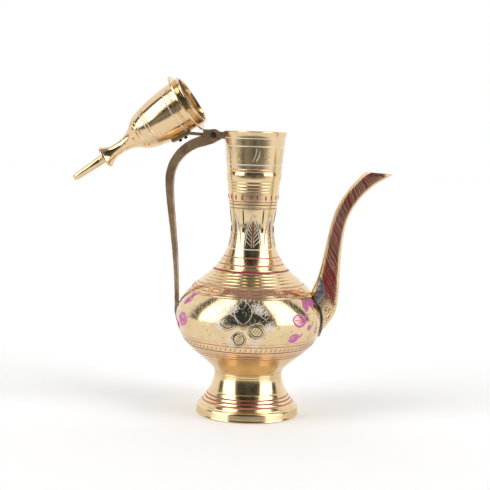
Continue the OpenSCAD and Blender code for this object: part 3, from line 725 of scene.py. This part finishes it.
SPOUT_Z = 0.0753
BEAK_Z = 0.1776
SPOUT_REACH = 0.099
SPOUT_WALL = 0.0012
SPOUT_DEEP = 0.0116
ROOT_WIDE = 0.013
BEAK_WIDE = 0.0084
CORNERS = 0.72  # 1 gives an oval section, and less a squarer one
BED = 0.0003  # room between the spout's end and the bowl
RINGS = 27
# Reach and climb as fractions of the way to the beak, tilt, extra half depth in mm, narrowing
STATIONS = [
    (-0.135, 0, 102, 9.7, 0), (0.023, 0.122, 120, 8.1, 0.05), (0.074, 0.227, 130, 5.3, 0.20),
    (0.095, 0.334, 140, 2.7, 0.35), (0.128, 0.481, 151, 0.5, 0.55), (0.183, 0.633, 157, -0.4, 0.70),
    (0.277, 0.755, 152, -0.4, 0.82), (0.443, 0.870, 150, -0.3, 0.92), (0.625, 0.953, 159, 0.6, 1),
    (0.798, 1.006, 177, 3.6, 1),
]


def spout_point(u, angle, grow=0.0):
    """Point of the front half: u runs from the bowl to the beak, angle from the inner edge round
    the front to the outer edge."""
    last = len(STATIONS) - 1
    i = min(last - 1, int(u * last))
    t = u * last - i
    rows = [STATIONS[min(last, max(0, k))] for k in (i - 1, i, i + 1, i + 2)]
    reach, climb, tilt, extra, narrow = (
        0.5 * (2 * b + (c - a) * t + (2 * a - 5 * b + 4 * c - d) * t * t + (3 * b - a - 3 * c + d) * t ** 3)
        for a, b, c, d in zip(*rows)
    )
    ca, sa = math.cos(math.radians(angle)), math.sin(math.radians(angle))
    along = (SPOUT_DEEP / 2 + extra * MM + grow) * math.copysign(abs(ca) ** CORNERS, ca)
    across = ((ROOT_WIDE + (BEAK_WIDE - ROOT_WIDE) * narrow) / 2 + grow) * abs(sa) ** CORNERS
    tilt = math.radians(tilt)
    x = belly_r + (SPOUT_REACH - belly_r) * reach + along * math.cos(tilt)
    z = SPOUT_Z + (BEAK_Z - SPOUT_Z) * climb + along * math.sin(tilt)
    if u < 6.5 / RINGS:
        stand = math.sqrt((vessel_r(z) + BED) ** 2 - across ** 2) + BED * RINGS * u
        x = stand if u == 0 else max(x, stand)
    return Vector((x, -across, z))


# Painted shade: a dark half coat over the flat side of each spout half, between its rounded borders
PANEL_SHADE = (0.07, 0.028, 0.018, 0.5)
PANEL_INNER, PANEL_OUTER = 46, 138  # where the chased panel ends, as angles round the section


def spout_half(name, side, finish):
    """Pressed half of the spout with its inner wall; the chased panel of its side is darkened by painted
    shade.
    """
    along, around = 110, 30
    arc = [180 * j / around for j in range(around + 1)]
    places, panel_shades = [], []
    for i in range(along + 1):
        for grow, angles in ((0.0, arc), (-SPOUT_WALL, arc[::-1])):
            for angle in angles:
                p = spout_point(i / along, angle, grow)
                places.append((p.x, side * (0.00001 - p.y), p.z))
                outside = grow == 0 and 0.13 < i / along < 0.97
                panel = outside and PANEL_INNER < angle < PANEL_OUTER
                panel_shades.extend(PANEL_SHADE if panel else BARE)
    count = 2 * len(arc)
    faces = []
    for i in range(along):
        for j in range(count):
            a, b = i * count + j, i * count + (j + 1) % count
            faces.append((a, b, b + count, a + count))
    for j in range(around):
        for base, turn in ((0, 1), (along * count, -1)):
            faces.append((base + j, base + j + 1, base + count - 2 - j, base + count - 1 - j)[::turn])
    mesh = bpy.data.meshes.new(name)
    mesh.from_pydata(places, [], faces)
    mesh.attributes.new("wax_and_painted_light", "FLOAT_COLOR", "POINT").data.foreach_set("color", panel_shades)
    mesh.materials.append(finish)
    return faced(placed(name, mesh), 50)


SPOUT_BRASS = polished_brass("spout_brass", Turned=0.0, Spread=0.45, Smooth=0.14)
for name, side, node in (("chased_spout_front", -1, "spout_front"), ("chased_spout_back", 1, "spout_back")):
    half = spout_half(name, side, SPOUT_BRASS)
    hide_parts(node)
    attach(half, "vessel")


def on_spout(u, angle, side):
    """Place on the spout's outside and the way out of it."""
    here = spout_point(u, angle)
    along = spout_point(min(1, u + 0.01), angle) - spout_point(max(0, u - 0.01), angle)
    round_it = spout_point(u, min(180, angle + 2)) - spout_point(u, max(0, angle - 2))
    way = along.cross(round_it).normalized()
    if way.y > 0:
        way = -way
    return Vector((here.x, -side * here.y, here.z)), Vector((way.x, -side * way.y, way.z))


crimson_cuts, black_cuts, brown_cuts, red_dots, glint_cuts = [], [], [], [], []
SLANTS = 132
DOTS = 120
SPECKS = 330
for side in (-1, 1):
    for k in range(SLANTS):
        start = 0.19 + 0.86 * (k / SLANTS) ** 0.88
        drop = 0.085 * (1 - 0.35 * start)
        shift = hand.uniform(-5, 5)
        line = [(start - drop * t, 52 + shift + 80 * t) for t in np.linspace(0, 1, 7)]
        line = [(u, a) for u, a in line if 0.135 < u < 0.985]
        if len(line) > 2:
            wide = hand.uniform(0.00045, 0.00068) if k % 2 else hand.uniform(0.00042, 0.00062)
            cuts = crimson_cuts if k % 2 else black_cuts
            cuts.append(([on_spout(u, a, side) for u, a in line], wide))
            if k % 3 == 1 and len(line) > 4:
                glint_cuts.append(([on_spout(u + 0.0035, a, side) for u, a in line[1:-1]], 0.00024))
    for k in range(DOTS):
        u = 0.17 + 0.80 * k / DOTS
        for angle in (146 + hand.uniform(-5, 5), 38 + hand.uniform(-4, 4)):
            if hand.random() < 0.6:
                red_dots.append(([on_spout(u + 0.003 * t, angle, side) for t in (0, 0.5, 1)], 0.00038))
    for k in range(SPECKS):
        u, angle = hand.uniform(0.03, 0.25), hand.uniform(58, 142)
        speck = [on_spout(u + 0.007 * t, angle + 5 * t, side) for t in (0, 0.5, 1)]
        cuts = (red_dots, black_cuts, brown_cuts)[k % 3]
        cuts.append((speck, hand.uniform(0.0004, 0.0007)))
# The bright spout strokes take the pale painted glint of bright cuts
for name, cuts, finish in (
    ("crimson_spout_strokes", crimson_cuts, CRIMSON_LAC), ("black_spout_strokes", black_cuts, DARK_LAC),
    ("red_spout_dots", red_dots, RED_LAC), ("brown_spout_dots", brown_cuts, BROWN_LAC),
    ("bright_spout_strokes", glint_cuts, GLINT_CUT),
):
    engraved(name, cuts, finish)

# ---- Solder -------------------------------------------------------------------------------
# Grey soft solder, run by hand: a bead round the spout's root with a smear on its side, pads at
# both ends of the handle, and a ring of braze under the bowl, inside the foot.


def solder_finish():
    finish, tree, shader = new_finish("soft_solder")
    place = tree.nodes.new("ShaderNodeTexCoord").outputs["Object"]
    clouds = speckle(tree, place, 320.0, 5.0)
    grains = new_node(tree, "ShaderNodeTexVoronoi", [("Vector", place), ("Scale", 900.0)])
    tone = blended(tree, ramp(tree, clouds, 0.3, 0.7), (0.10, 0.10, 0.108, 1), (0.36, 0.36, 0.38, 1),
                   colours=True)
    height = calculated(tree, "ADD", clouds, grains.outputs["Distance"])
    feed(tree, shader, [
        ("Base Color", tone),
        ("Roughness", ramp(tree, clouds, low=0.5, high=0.28)),
        ("Metallic", 0.85),
        ("Normal", dented(tree, height, 0.00008)),
    ])
    return finish


SOLDER = solder_finish()


def merge_doubles(mesh):
    work = bmesh.new()
    work.from_mesh(mesh)
    bmesh.ops.remove_doubles(work, verts=work.verts, dist=1e-6)
    work.to_mesh(mesh)
    work.free()


def reworked(name, node, body, finish, voxel, dent, grain):
    """Piece made from the node's mesh: merged, remeshed so that its edges round off, and dented
    inwards by up to dent, in patches of about grain."""
    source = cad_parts[node].data.copy()
    merge_doubles(source)
    piece = placed(name, source)
    remesh = piece.modifiers.new("remesh", "REMESH")
    remesh.mode = "VOXEL"
    remesh.voxel_size = voxel
    smooth = piece.modifiers.new("smooth", "SMOOTH")
    smooth.iterations = 3
    result = made_plain(piece)
    ways = [v.normal.copy() for v in result.vertices]
    for vertex, way in zip(result.vertices, ways):
        deep = 0.5 + 0.5 * noise.noise(vertex.co / grain)
        vertex.co -= way * dent * deep
    result.materials.clear()
    result.materials.append(finish)
    faced(piece, 60)
    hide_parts(node)
    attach(piece, body)


for name, node in (("solder_bead", "spout_solder"), ("solder_at_neck", "handle_top_solder"),
                   ("solder_at_handle_foot", "handle_foot_solder")):
    reworked(name, node, "vessel", SOLDER, voxel=0.0003, dent=0.0002, grain=0.002)
reworked("braze_in_foot", "foot_solder", "vessel", SOLDER,
         voxel=0.0003, dent=0.0001, grain=0.003)


def smear(name, surface, across, up, thick):
    """Thin patch of solder with a ragged edge, on surface(s, t), where s and t are the offsets
    from its middle, up to across and up. It reaches a little under the surface."""
    rings, spokes = 14, 56
    sunk = 0.0002
    places = []
    for lifted in (True, False):
        for i in range(1, rings + 1):
            for j in range(spokes):
                turn = math.tau * j / spokes
                torn = noise.noise(Vector((2.2 * math.cos(turn), 2.2 * math.sin(turn), len(name))))
                reach = (0.78 + 0.22 * torn) * i / rings
                place, way = surface(across * reach * math.cos(turn), up * reach * math.sin(turn))
                dome = thick * math.sqrt(max(0, 1 - (i / rings) ** 2))
                swell = dome * (0.8 + 0.2 * noise.noise(place * 900))
                places.append(place + way * (swell if lifted else -sunk if i < rings else 0))
    faces = []
    for base in (0, rings * spokes):
        for i in range(rings - 1):
            for j in range(spokes):
                a, b = base + i * spokes + j, base + i * spokes + (j + 1) % spokes
                faces.append((a, b, b + spokes, a + spokes))
        faces.append(tuple(range(base, base + spokes)))
    mesh = bpy.data.meshes.new(name)
    mesh.from_pydata(places, [], faces)
    mesh.materials.append(SOLDER)
    merge_doubles(mesh)
    patch = faced(placed(name, mesh), 60)
    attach(patch, "vessel")


for side, label in ((-1, "front"), (1, "back")):
    smear("solder_smear_" + label, lambda s, t: on_spout(0.115 + s - 0.0009 * t, 62 + t, side),
          across=0.085, up=34, thick=0.0006)

# ---- Handle -------------------------------------------------------------------------------
# One bronze forging, hammered and left dark. Its fork takes the lid's strap, its stub is soldered
# to the neck, and its tapered foot to the belly.


def forged_finish(name, tone, dark, worn):
    """Hammered metal: dents, cloudy tarnish, and bare metal on the high spots."""
    finish, tree, shader = new_finish(name)
    place = tree.nodes.new("ShaderNodeTexCoord").outputs["Object"]
    clouds = speckle(tree, place, 120.0, 6.0)
    pits = speckle(tree, place, 1100.0, 3.0)
    dimples = new_node(tree, "ShaderNodeTexVoronoi", [("Vector", place), ("Scale", 420.0)],
                       feature="SMOOTH_F1").outputs["Distance"]
    tarnished = blended(tree, ramp(tree, clouds, 0.35, 0.65), (*tone, 1), (*dark, 1), colours=True)
    bare = ramp(tree, pits, 0.56, 0.68, high=0.5)
    height = calculated(tree, "MULTIPLY_ADD", pits, 0.4, dimples)
    feed(tree, shader, [
        ("Base Color", blended(tree, bare, tarnished, (*worn, 1), colours=True)),
        ("Roughness", ramp(tree, clouds, low=0.28, high=0.55)),
        ("Metallic", 0.9),
        ("Normal", dented(tree, height, 0.00012)),
    ])
    return finish


BRONZE = forged_finish("tarnished_bronze", (0.50, 0.345, 0.195), (0.26, 0.165, 0.105), (0.70, 0.52, 0.30))
reworked("forged_handle", "handle", "vessel", BRONZE,
         voxel=0.00035, dent=0.00022, grain=0.0035)

# ---- Strap and rivets ---------------------------------------------------------------------
# The strap turns in the fork, and its leaf lies on the bell. Two black iron rivets go through leaf
# and bell; they are clenched on the leaf and headed inside the bell.

LEAF_BRASS = forged_finish("strap_brass", (0.50, 0.38, 0.18), (0.22, 0.15, 0.075), (0.68, 0.52, 0.28))
BLACK = forged_finish("black_rivet", (0.018, 0.016, 0.015), (0.008, 0.007, 0.007), (0.06, 0.05, 0.04))
reworked("strap_leaf", "lid_strap", "lid", LEAF_BRASS,
         voxel=0.00028, dent=0.00010, grain=0.003)
reworked("black_rivets", "strap_rivets", "lid", BLACK,
         voxel=0.00018, dent=0.00012, grain=0.001)

# ---- Hinge pin ----------------------------------------------------------------------------
# A piece of iron rod through the fork and the strap, hammered to a low dome at each end.

IRON = forged_finish("iron_pin", (0.13, 0.065, 0.055), (0.06, 0.035, 0.035), (0.26, 0.17, 0.14))
PIN_R = 0.0015
HEAD_R = 0.0023
HEAD_THICK = 0.0005
pin_low, pin_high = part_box("hinge_pin")
half_pin = pin_high.y
pin_line = [(0, -half_pin)]
pin_line += [(HEAD_R * math.sin(t), -half_pin + HEAD_THICK * (1 - math.cos(t)))
             for t in np.linspace(0.2, math.pi / 2, 7)]
pin_line += [(PIN_R, -half_pin + HEAD_THICK)]
pin_line = [(r, z, BARE) for r, z in pin_line]
pin_line += [(r, -z, wax_and_painted_light) for r, z, wax_and_painted_light in pin_line[::-1]]
pin = turned("hammered_pin", pin_line, IRON, 48)
pin.data.transform(Matrix.Translation((pin_low + pin_high) / 2) @ Matrix.Rotation(math.pi / 2, 4, "X"))
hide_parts("hinge_pin")
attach(pin, "vessel")

# ---- Lid ----------------------------------------------------------------------------------
# A bell turned from a casting, with a flange, a waisted stem and a flared disc. The collar under
# the flange drops into the mouth, a spike stands in the disc, and one bright cut marks the bell;
# it and the pale rings of the bell are coloured with a painted glint.
# The lid is built upright on its axis and then turned about the pin to where it rests, open.

PIN = Vector((-0.0302, 0, 0.2014))
SHUT = Vector((0, 0, mouth_z + 0.0001))
OPEN = Matrix.Rotation(math.radians(-124.7), 4, "Y")
REST = Matrix.Translation(PIN) @ OPEN @ Matrix.Translation(SHUT - PIN)
LID = [
    (0.0014, 0.0190, -0.08), (0.0250, 0.0168, -0.17), (0.0394, 0.0132, -0.42), (0.0457, 0.00915, -0.95),
    (0.0524, 0.0056, -0.3), (0.0589, 0.0044, 0), (0.0645, 0.0046, 0.12), (0.0720, 0.0083, 0.8),
]
FLANGE_R = 0.0228
BELL_WALL = 0.0015
BORE_R = 0.0171  # at the flange, and inside the collar
TENON_R = 0.0018
SOCKET_Z = 0.0645
DISC_Z = 0.0740
RIDGE = 0.0003


def lid_r(h):
    return along_keys(LID, h)


def lid_bore(h):
    """Radius of the bell's inside, which the tool left ridged."""
    slope = (lid_r(h + 0.0003) - lid_r(h - 0.0003)) / 0.0006
    ridges = RIDGE * math.sin(h * 2600) * (h > 0.002)
    return lid_r(h) - BELL_WALL * math.hypot(1, slope) - abs(ridges)


# The pale-filled lid rings carry a painted glint, not wax
lid_rings = [
    (0.0056, 0.0009, 0.00034, BARE), (0.0069, 0.0009, 0.00034, BARE), (0.0106, 0.0010, 0.00036, PAINTED_GLINT),
    (0.0295, 0.0009, 0.00032, BARE), (0.0310, 0.0009, 0.00032, BARE), (0.0325, 0.0009, 0.00030, PAINTED_GLINT),
    (0.0385, 0.0009, 0.00032, BARE), (0.0410, 0.0009, 0.00030, BARE), (0.0535, 0.0012, 0.00016, BARE),
]
bell_line = [(0, 0.0434), (0.0030, 0.0433)]
bell_line += [(lid_bore(h), h) for h in np.linspace(0.0428, 0.0016, 170)]
bell_line += [
    (BORE_R, 0.0013), (BORE_R, 0), (FLANGE_R - 0.0004, 0), (FLANGE_R - 0.0001, 0.00015),
    (FLANGE_R, 0.0005), (FLANGE_R, 0.0009), (FLANGE_R - 0.0001, 0.00125), (FLANGE_R - 0.0004, 0.0014),
    (0.0196, 0.0014), (0.0192, 0.00155),
]
bell_line = [(r, h, BARE) for r, h in bell_line] + turned_line(lid_r, 0.0020, 0.0720, lid_rings)
bell_line += [(r, h, BARE) for r, h in (
    (0.0083, 0.0725), (0.0081, 0.0730), (0.0060, 0.0738), (0.0044, DISC_Z), (TENON_R + FIT, DISC_Z),
    (TENON_R + FIT, SOCKET_Z), (0, SOCKET_Z),
)]
collar_line = [
    (BORE_R, -FIT), (0.0186, -FIT), (0.0186, -0.0026), (0.01885, -0.0030), (0.0190, -0.0035),
    (0.0190, -0.0040), (0.0188, -0.0044), (0.0185, -0.0045), (0.0176, -0.0045), (0.0172, -0.0043),
    (BORE_R, -0.0040), (BORE_R, -FIT),
]
spike_line = [
    (0, 0.0650), (TENON_R, 0.0650), (TENON_R, DISC_Z), (0.0036, DISC_Z), (0.0038, 0.0743),
    (0.0038, 0.0750), (0.0036, 0.0753), (0.0033, 0.0757), (0.0034, 0.0764), (0.0034, 0.0769),
    (0.0032, 0.0773), (0.00335, 0.0777), (0.00305, 0.0862), (0.0028, 0.0940), (0.0027, 0.0976),
    (0.0025, 0.0984), (0.0021, 0.1006), (0.0018, 0.1010), (0, 0.1010),
]
LID_BRASS = polished_brass("lid_brass", Tone=(0.79, 0.58, 0.34, 1), Smooth=0.09)
MARK_TURN = -0.62
mark_way = Vector((math.sin(MARK_TURN), -math.cos(MARK_TURN), 0))
mark = [(mark_way * lid_r(h) + Vector((0, 0, h)), mark_way) for h in np.linspace(0.0185, 0.0270, 6)]
# The mark on the bell is coloured pale, a painted glint
engraved("lid_mark", [(mark, 0.0006)], GLINT_CUT, body="lid", matrix=REST)
for name, line, node in (
    ("turned_bell", bell_line, "lid_bell"),
    ("turned_collar", [(r, h, BARE) for r, h in collar_line], "lid_collar"),
    ("turned_spike", [(r, h, BARE) for r, h in spike_line], "lid_spike"),
):
    piece = turned(name, line, LID_BRASS, 160)
    piece.data.transform(REST)
    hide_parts(node)
    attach(piece, "lid")

# ---- Camera and studio --------------------------------------------------------------------
# Not part of the object: a pale table, white surroundings with a darker room before it, and two
# tall soft lights that stand on either side of the camera.

VIEW_SIDE = math.radians(8)
VIEW_DOWN = math.radians(6.08)
VIEW_ROLL = math.radians(1.75)
CAMERA_AT = (-0.005, -0.8405, 0.2124)  # as seen from the side that it stands on
camera_data = bpy.data.cameras.new("camera")
camera_data.lens = 85.66
camera_data.clip_start = 0.01
camera = placed("camera", camera_data)
camera.matrix_world = (
    Matrix.Rotation(VIEW_SIDE, 4, "Z") @ Matrix.Translation(CAMERA_AT)
    @ Matrix.Rotation(math.pi / 2 - VIEW_DOWN, 4, "X") @ Matrix.Rotation(VIEW_ROLL, 4, "Z")
)
bpy.context.scene.camera = camera
bpy.context.scene.view_settings.view_transform = "Standard"


def table_top():
    mesh = bpy.data.meshes.new("table")
    left, right, front, back = -3.0, 3.0, -0.48, 4.0
    corners = [(left, front, 0), (right, front, 0), (right, back, 0), (left, back, 0)]
    mesh.from_pydata(corners, [], [(0, 1, 2, 3)])
    table = placed("table", mesh)
    paper, tree, shader = new_finish("white_paper")
    place = tree.nodes.new("ShaderNodeTexCoord").outputs["Object"]
    feed(tree, shader, [
        ("Base Color", ramp(tree, speckle(tree, place, 8.0), low=0.945, high=0.955)),
        ("Roughness", 0.8), ("Specular IOR Level", 0.1),
        ("Emission Color", (1, 1, 1, 1)), ("Emission Strength", 0.06),
    ])
    mesh.materials.append(paper)


table_top()


def between(tree, value, low, high, soft):
    """1 where the value lies from low to high, 0 elsewhere, with a soft step at either end."""
    up = ramp(tree, value, low - soft, low + soft, interpolation_type="SMOOTHSTEP")
    down = ramp(tree, value, high - soft, high + soft, 1.0, 0.0, interpolation_type="SMOOTHSTEP")
    return calculated(tree, "MULTIPLY", up, down)


# How far the dark room and the lamps reach: degrees round from the camera, and degrees up
ROOM_ROUND, ROOM_UP = 104, 72
LAMP_FROM, LAMP_TO, LAMP_UP = 43, 85, 68
CEILING_UP = 62
WHITE, CEILING, LAMP = 1.04, 0.34, 3.0


def surroundings():
    """White all round, with a darker room in the camera's direction and a half-bright ceiling.
    Directions are an angle from the camera's side of the object and the sine of the height."""
    world = bpy.data.worlds.new("surroundings")
    bpy.context.scene.world = world
    world.use_nodes = True
    tree = world.node_tree
    tree.nodes.clear()
    way = tree.nodes.new("ShaderNodeTexCoord").outputs["Generated"]
    turned_way = new_node(tree, "ShaderNodeVectorRotate", [("Vector", way), ("Angle", -VIEW_SIDE)],
                          rotation_type="Z_AXIS")
    parts = new_node(tree, "ShaderNodeSeparateXYZ", [("Vector", turned_way.outputs[0])]).outputs
    side = calculated(tree, "ABSOLUTE", parts["X"])
    around = calculated(tree, "ARCTAN2", side, calculated(tree, "MULTIPLY", parts["Y"], -1.0))
    height = parts["Z"]

    room = between(tree, around, -1.0, math.radians(ROOM_ROUND), math.radians(1.5))
    low_part = between(tree, height, -2.0, math.sin(math.radians(ROOM_UP)), 0.03)
    dark = calculated(tree, "MULTIPLY", room, low_part)
    lamp_wide = between(tree, around, math.radians(LAMP_FROM), math.radians(LAMP_TO), math.radians(1.0))
    lamp_high = between(tree, height, -0.03, math.sin(math.radians(LAMP_UP)), 0.02)
    lamp = calculated(tree, "MULTIPLY", lamp_wide, lamp_high)
    overhead = between(tree, height, math.sin(math.radians(CEILING_UP)), 3.0, 0.05)

    room_tone = ramp(tree, speckle(tree, way, 3.0), 0.35, 0.65, 0.03, 0.20)
    room_light = calculated(tree, "MULTIPLY", room_tone, ramp(tree, height, -0.02, 0.06, 1.5, 0.5))
    white = blended(tree, overhead, WHITE, CEILING)
    lit = blended(tree, lamp, blended(tree, dark, white, room_light), LAMP)
    seen = tree.nodes.new("ShaderNodeLightPath").outputs["Is Camera Ray"]
    light = new_node(tree, "ShaderNodeBackground",
                     [("Strength", blended(tree, seen, lit, 1.0)), ("Color", (1.0, 1.0, 1.0, 1))])
    new_node(tree, "ShaderNodeOutputWorld", [("Surface", light.outputs[0])])


surroundings()
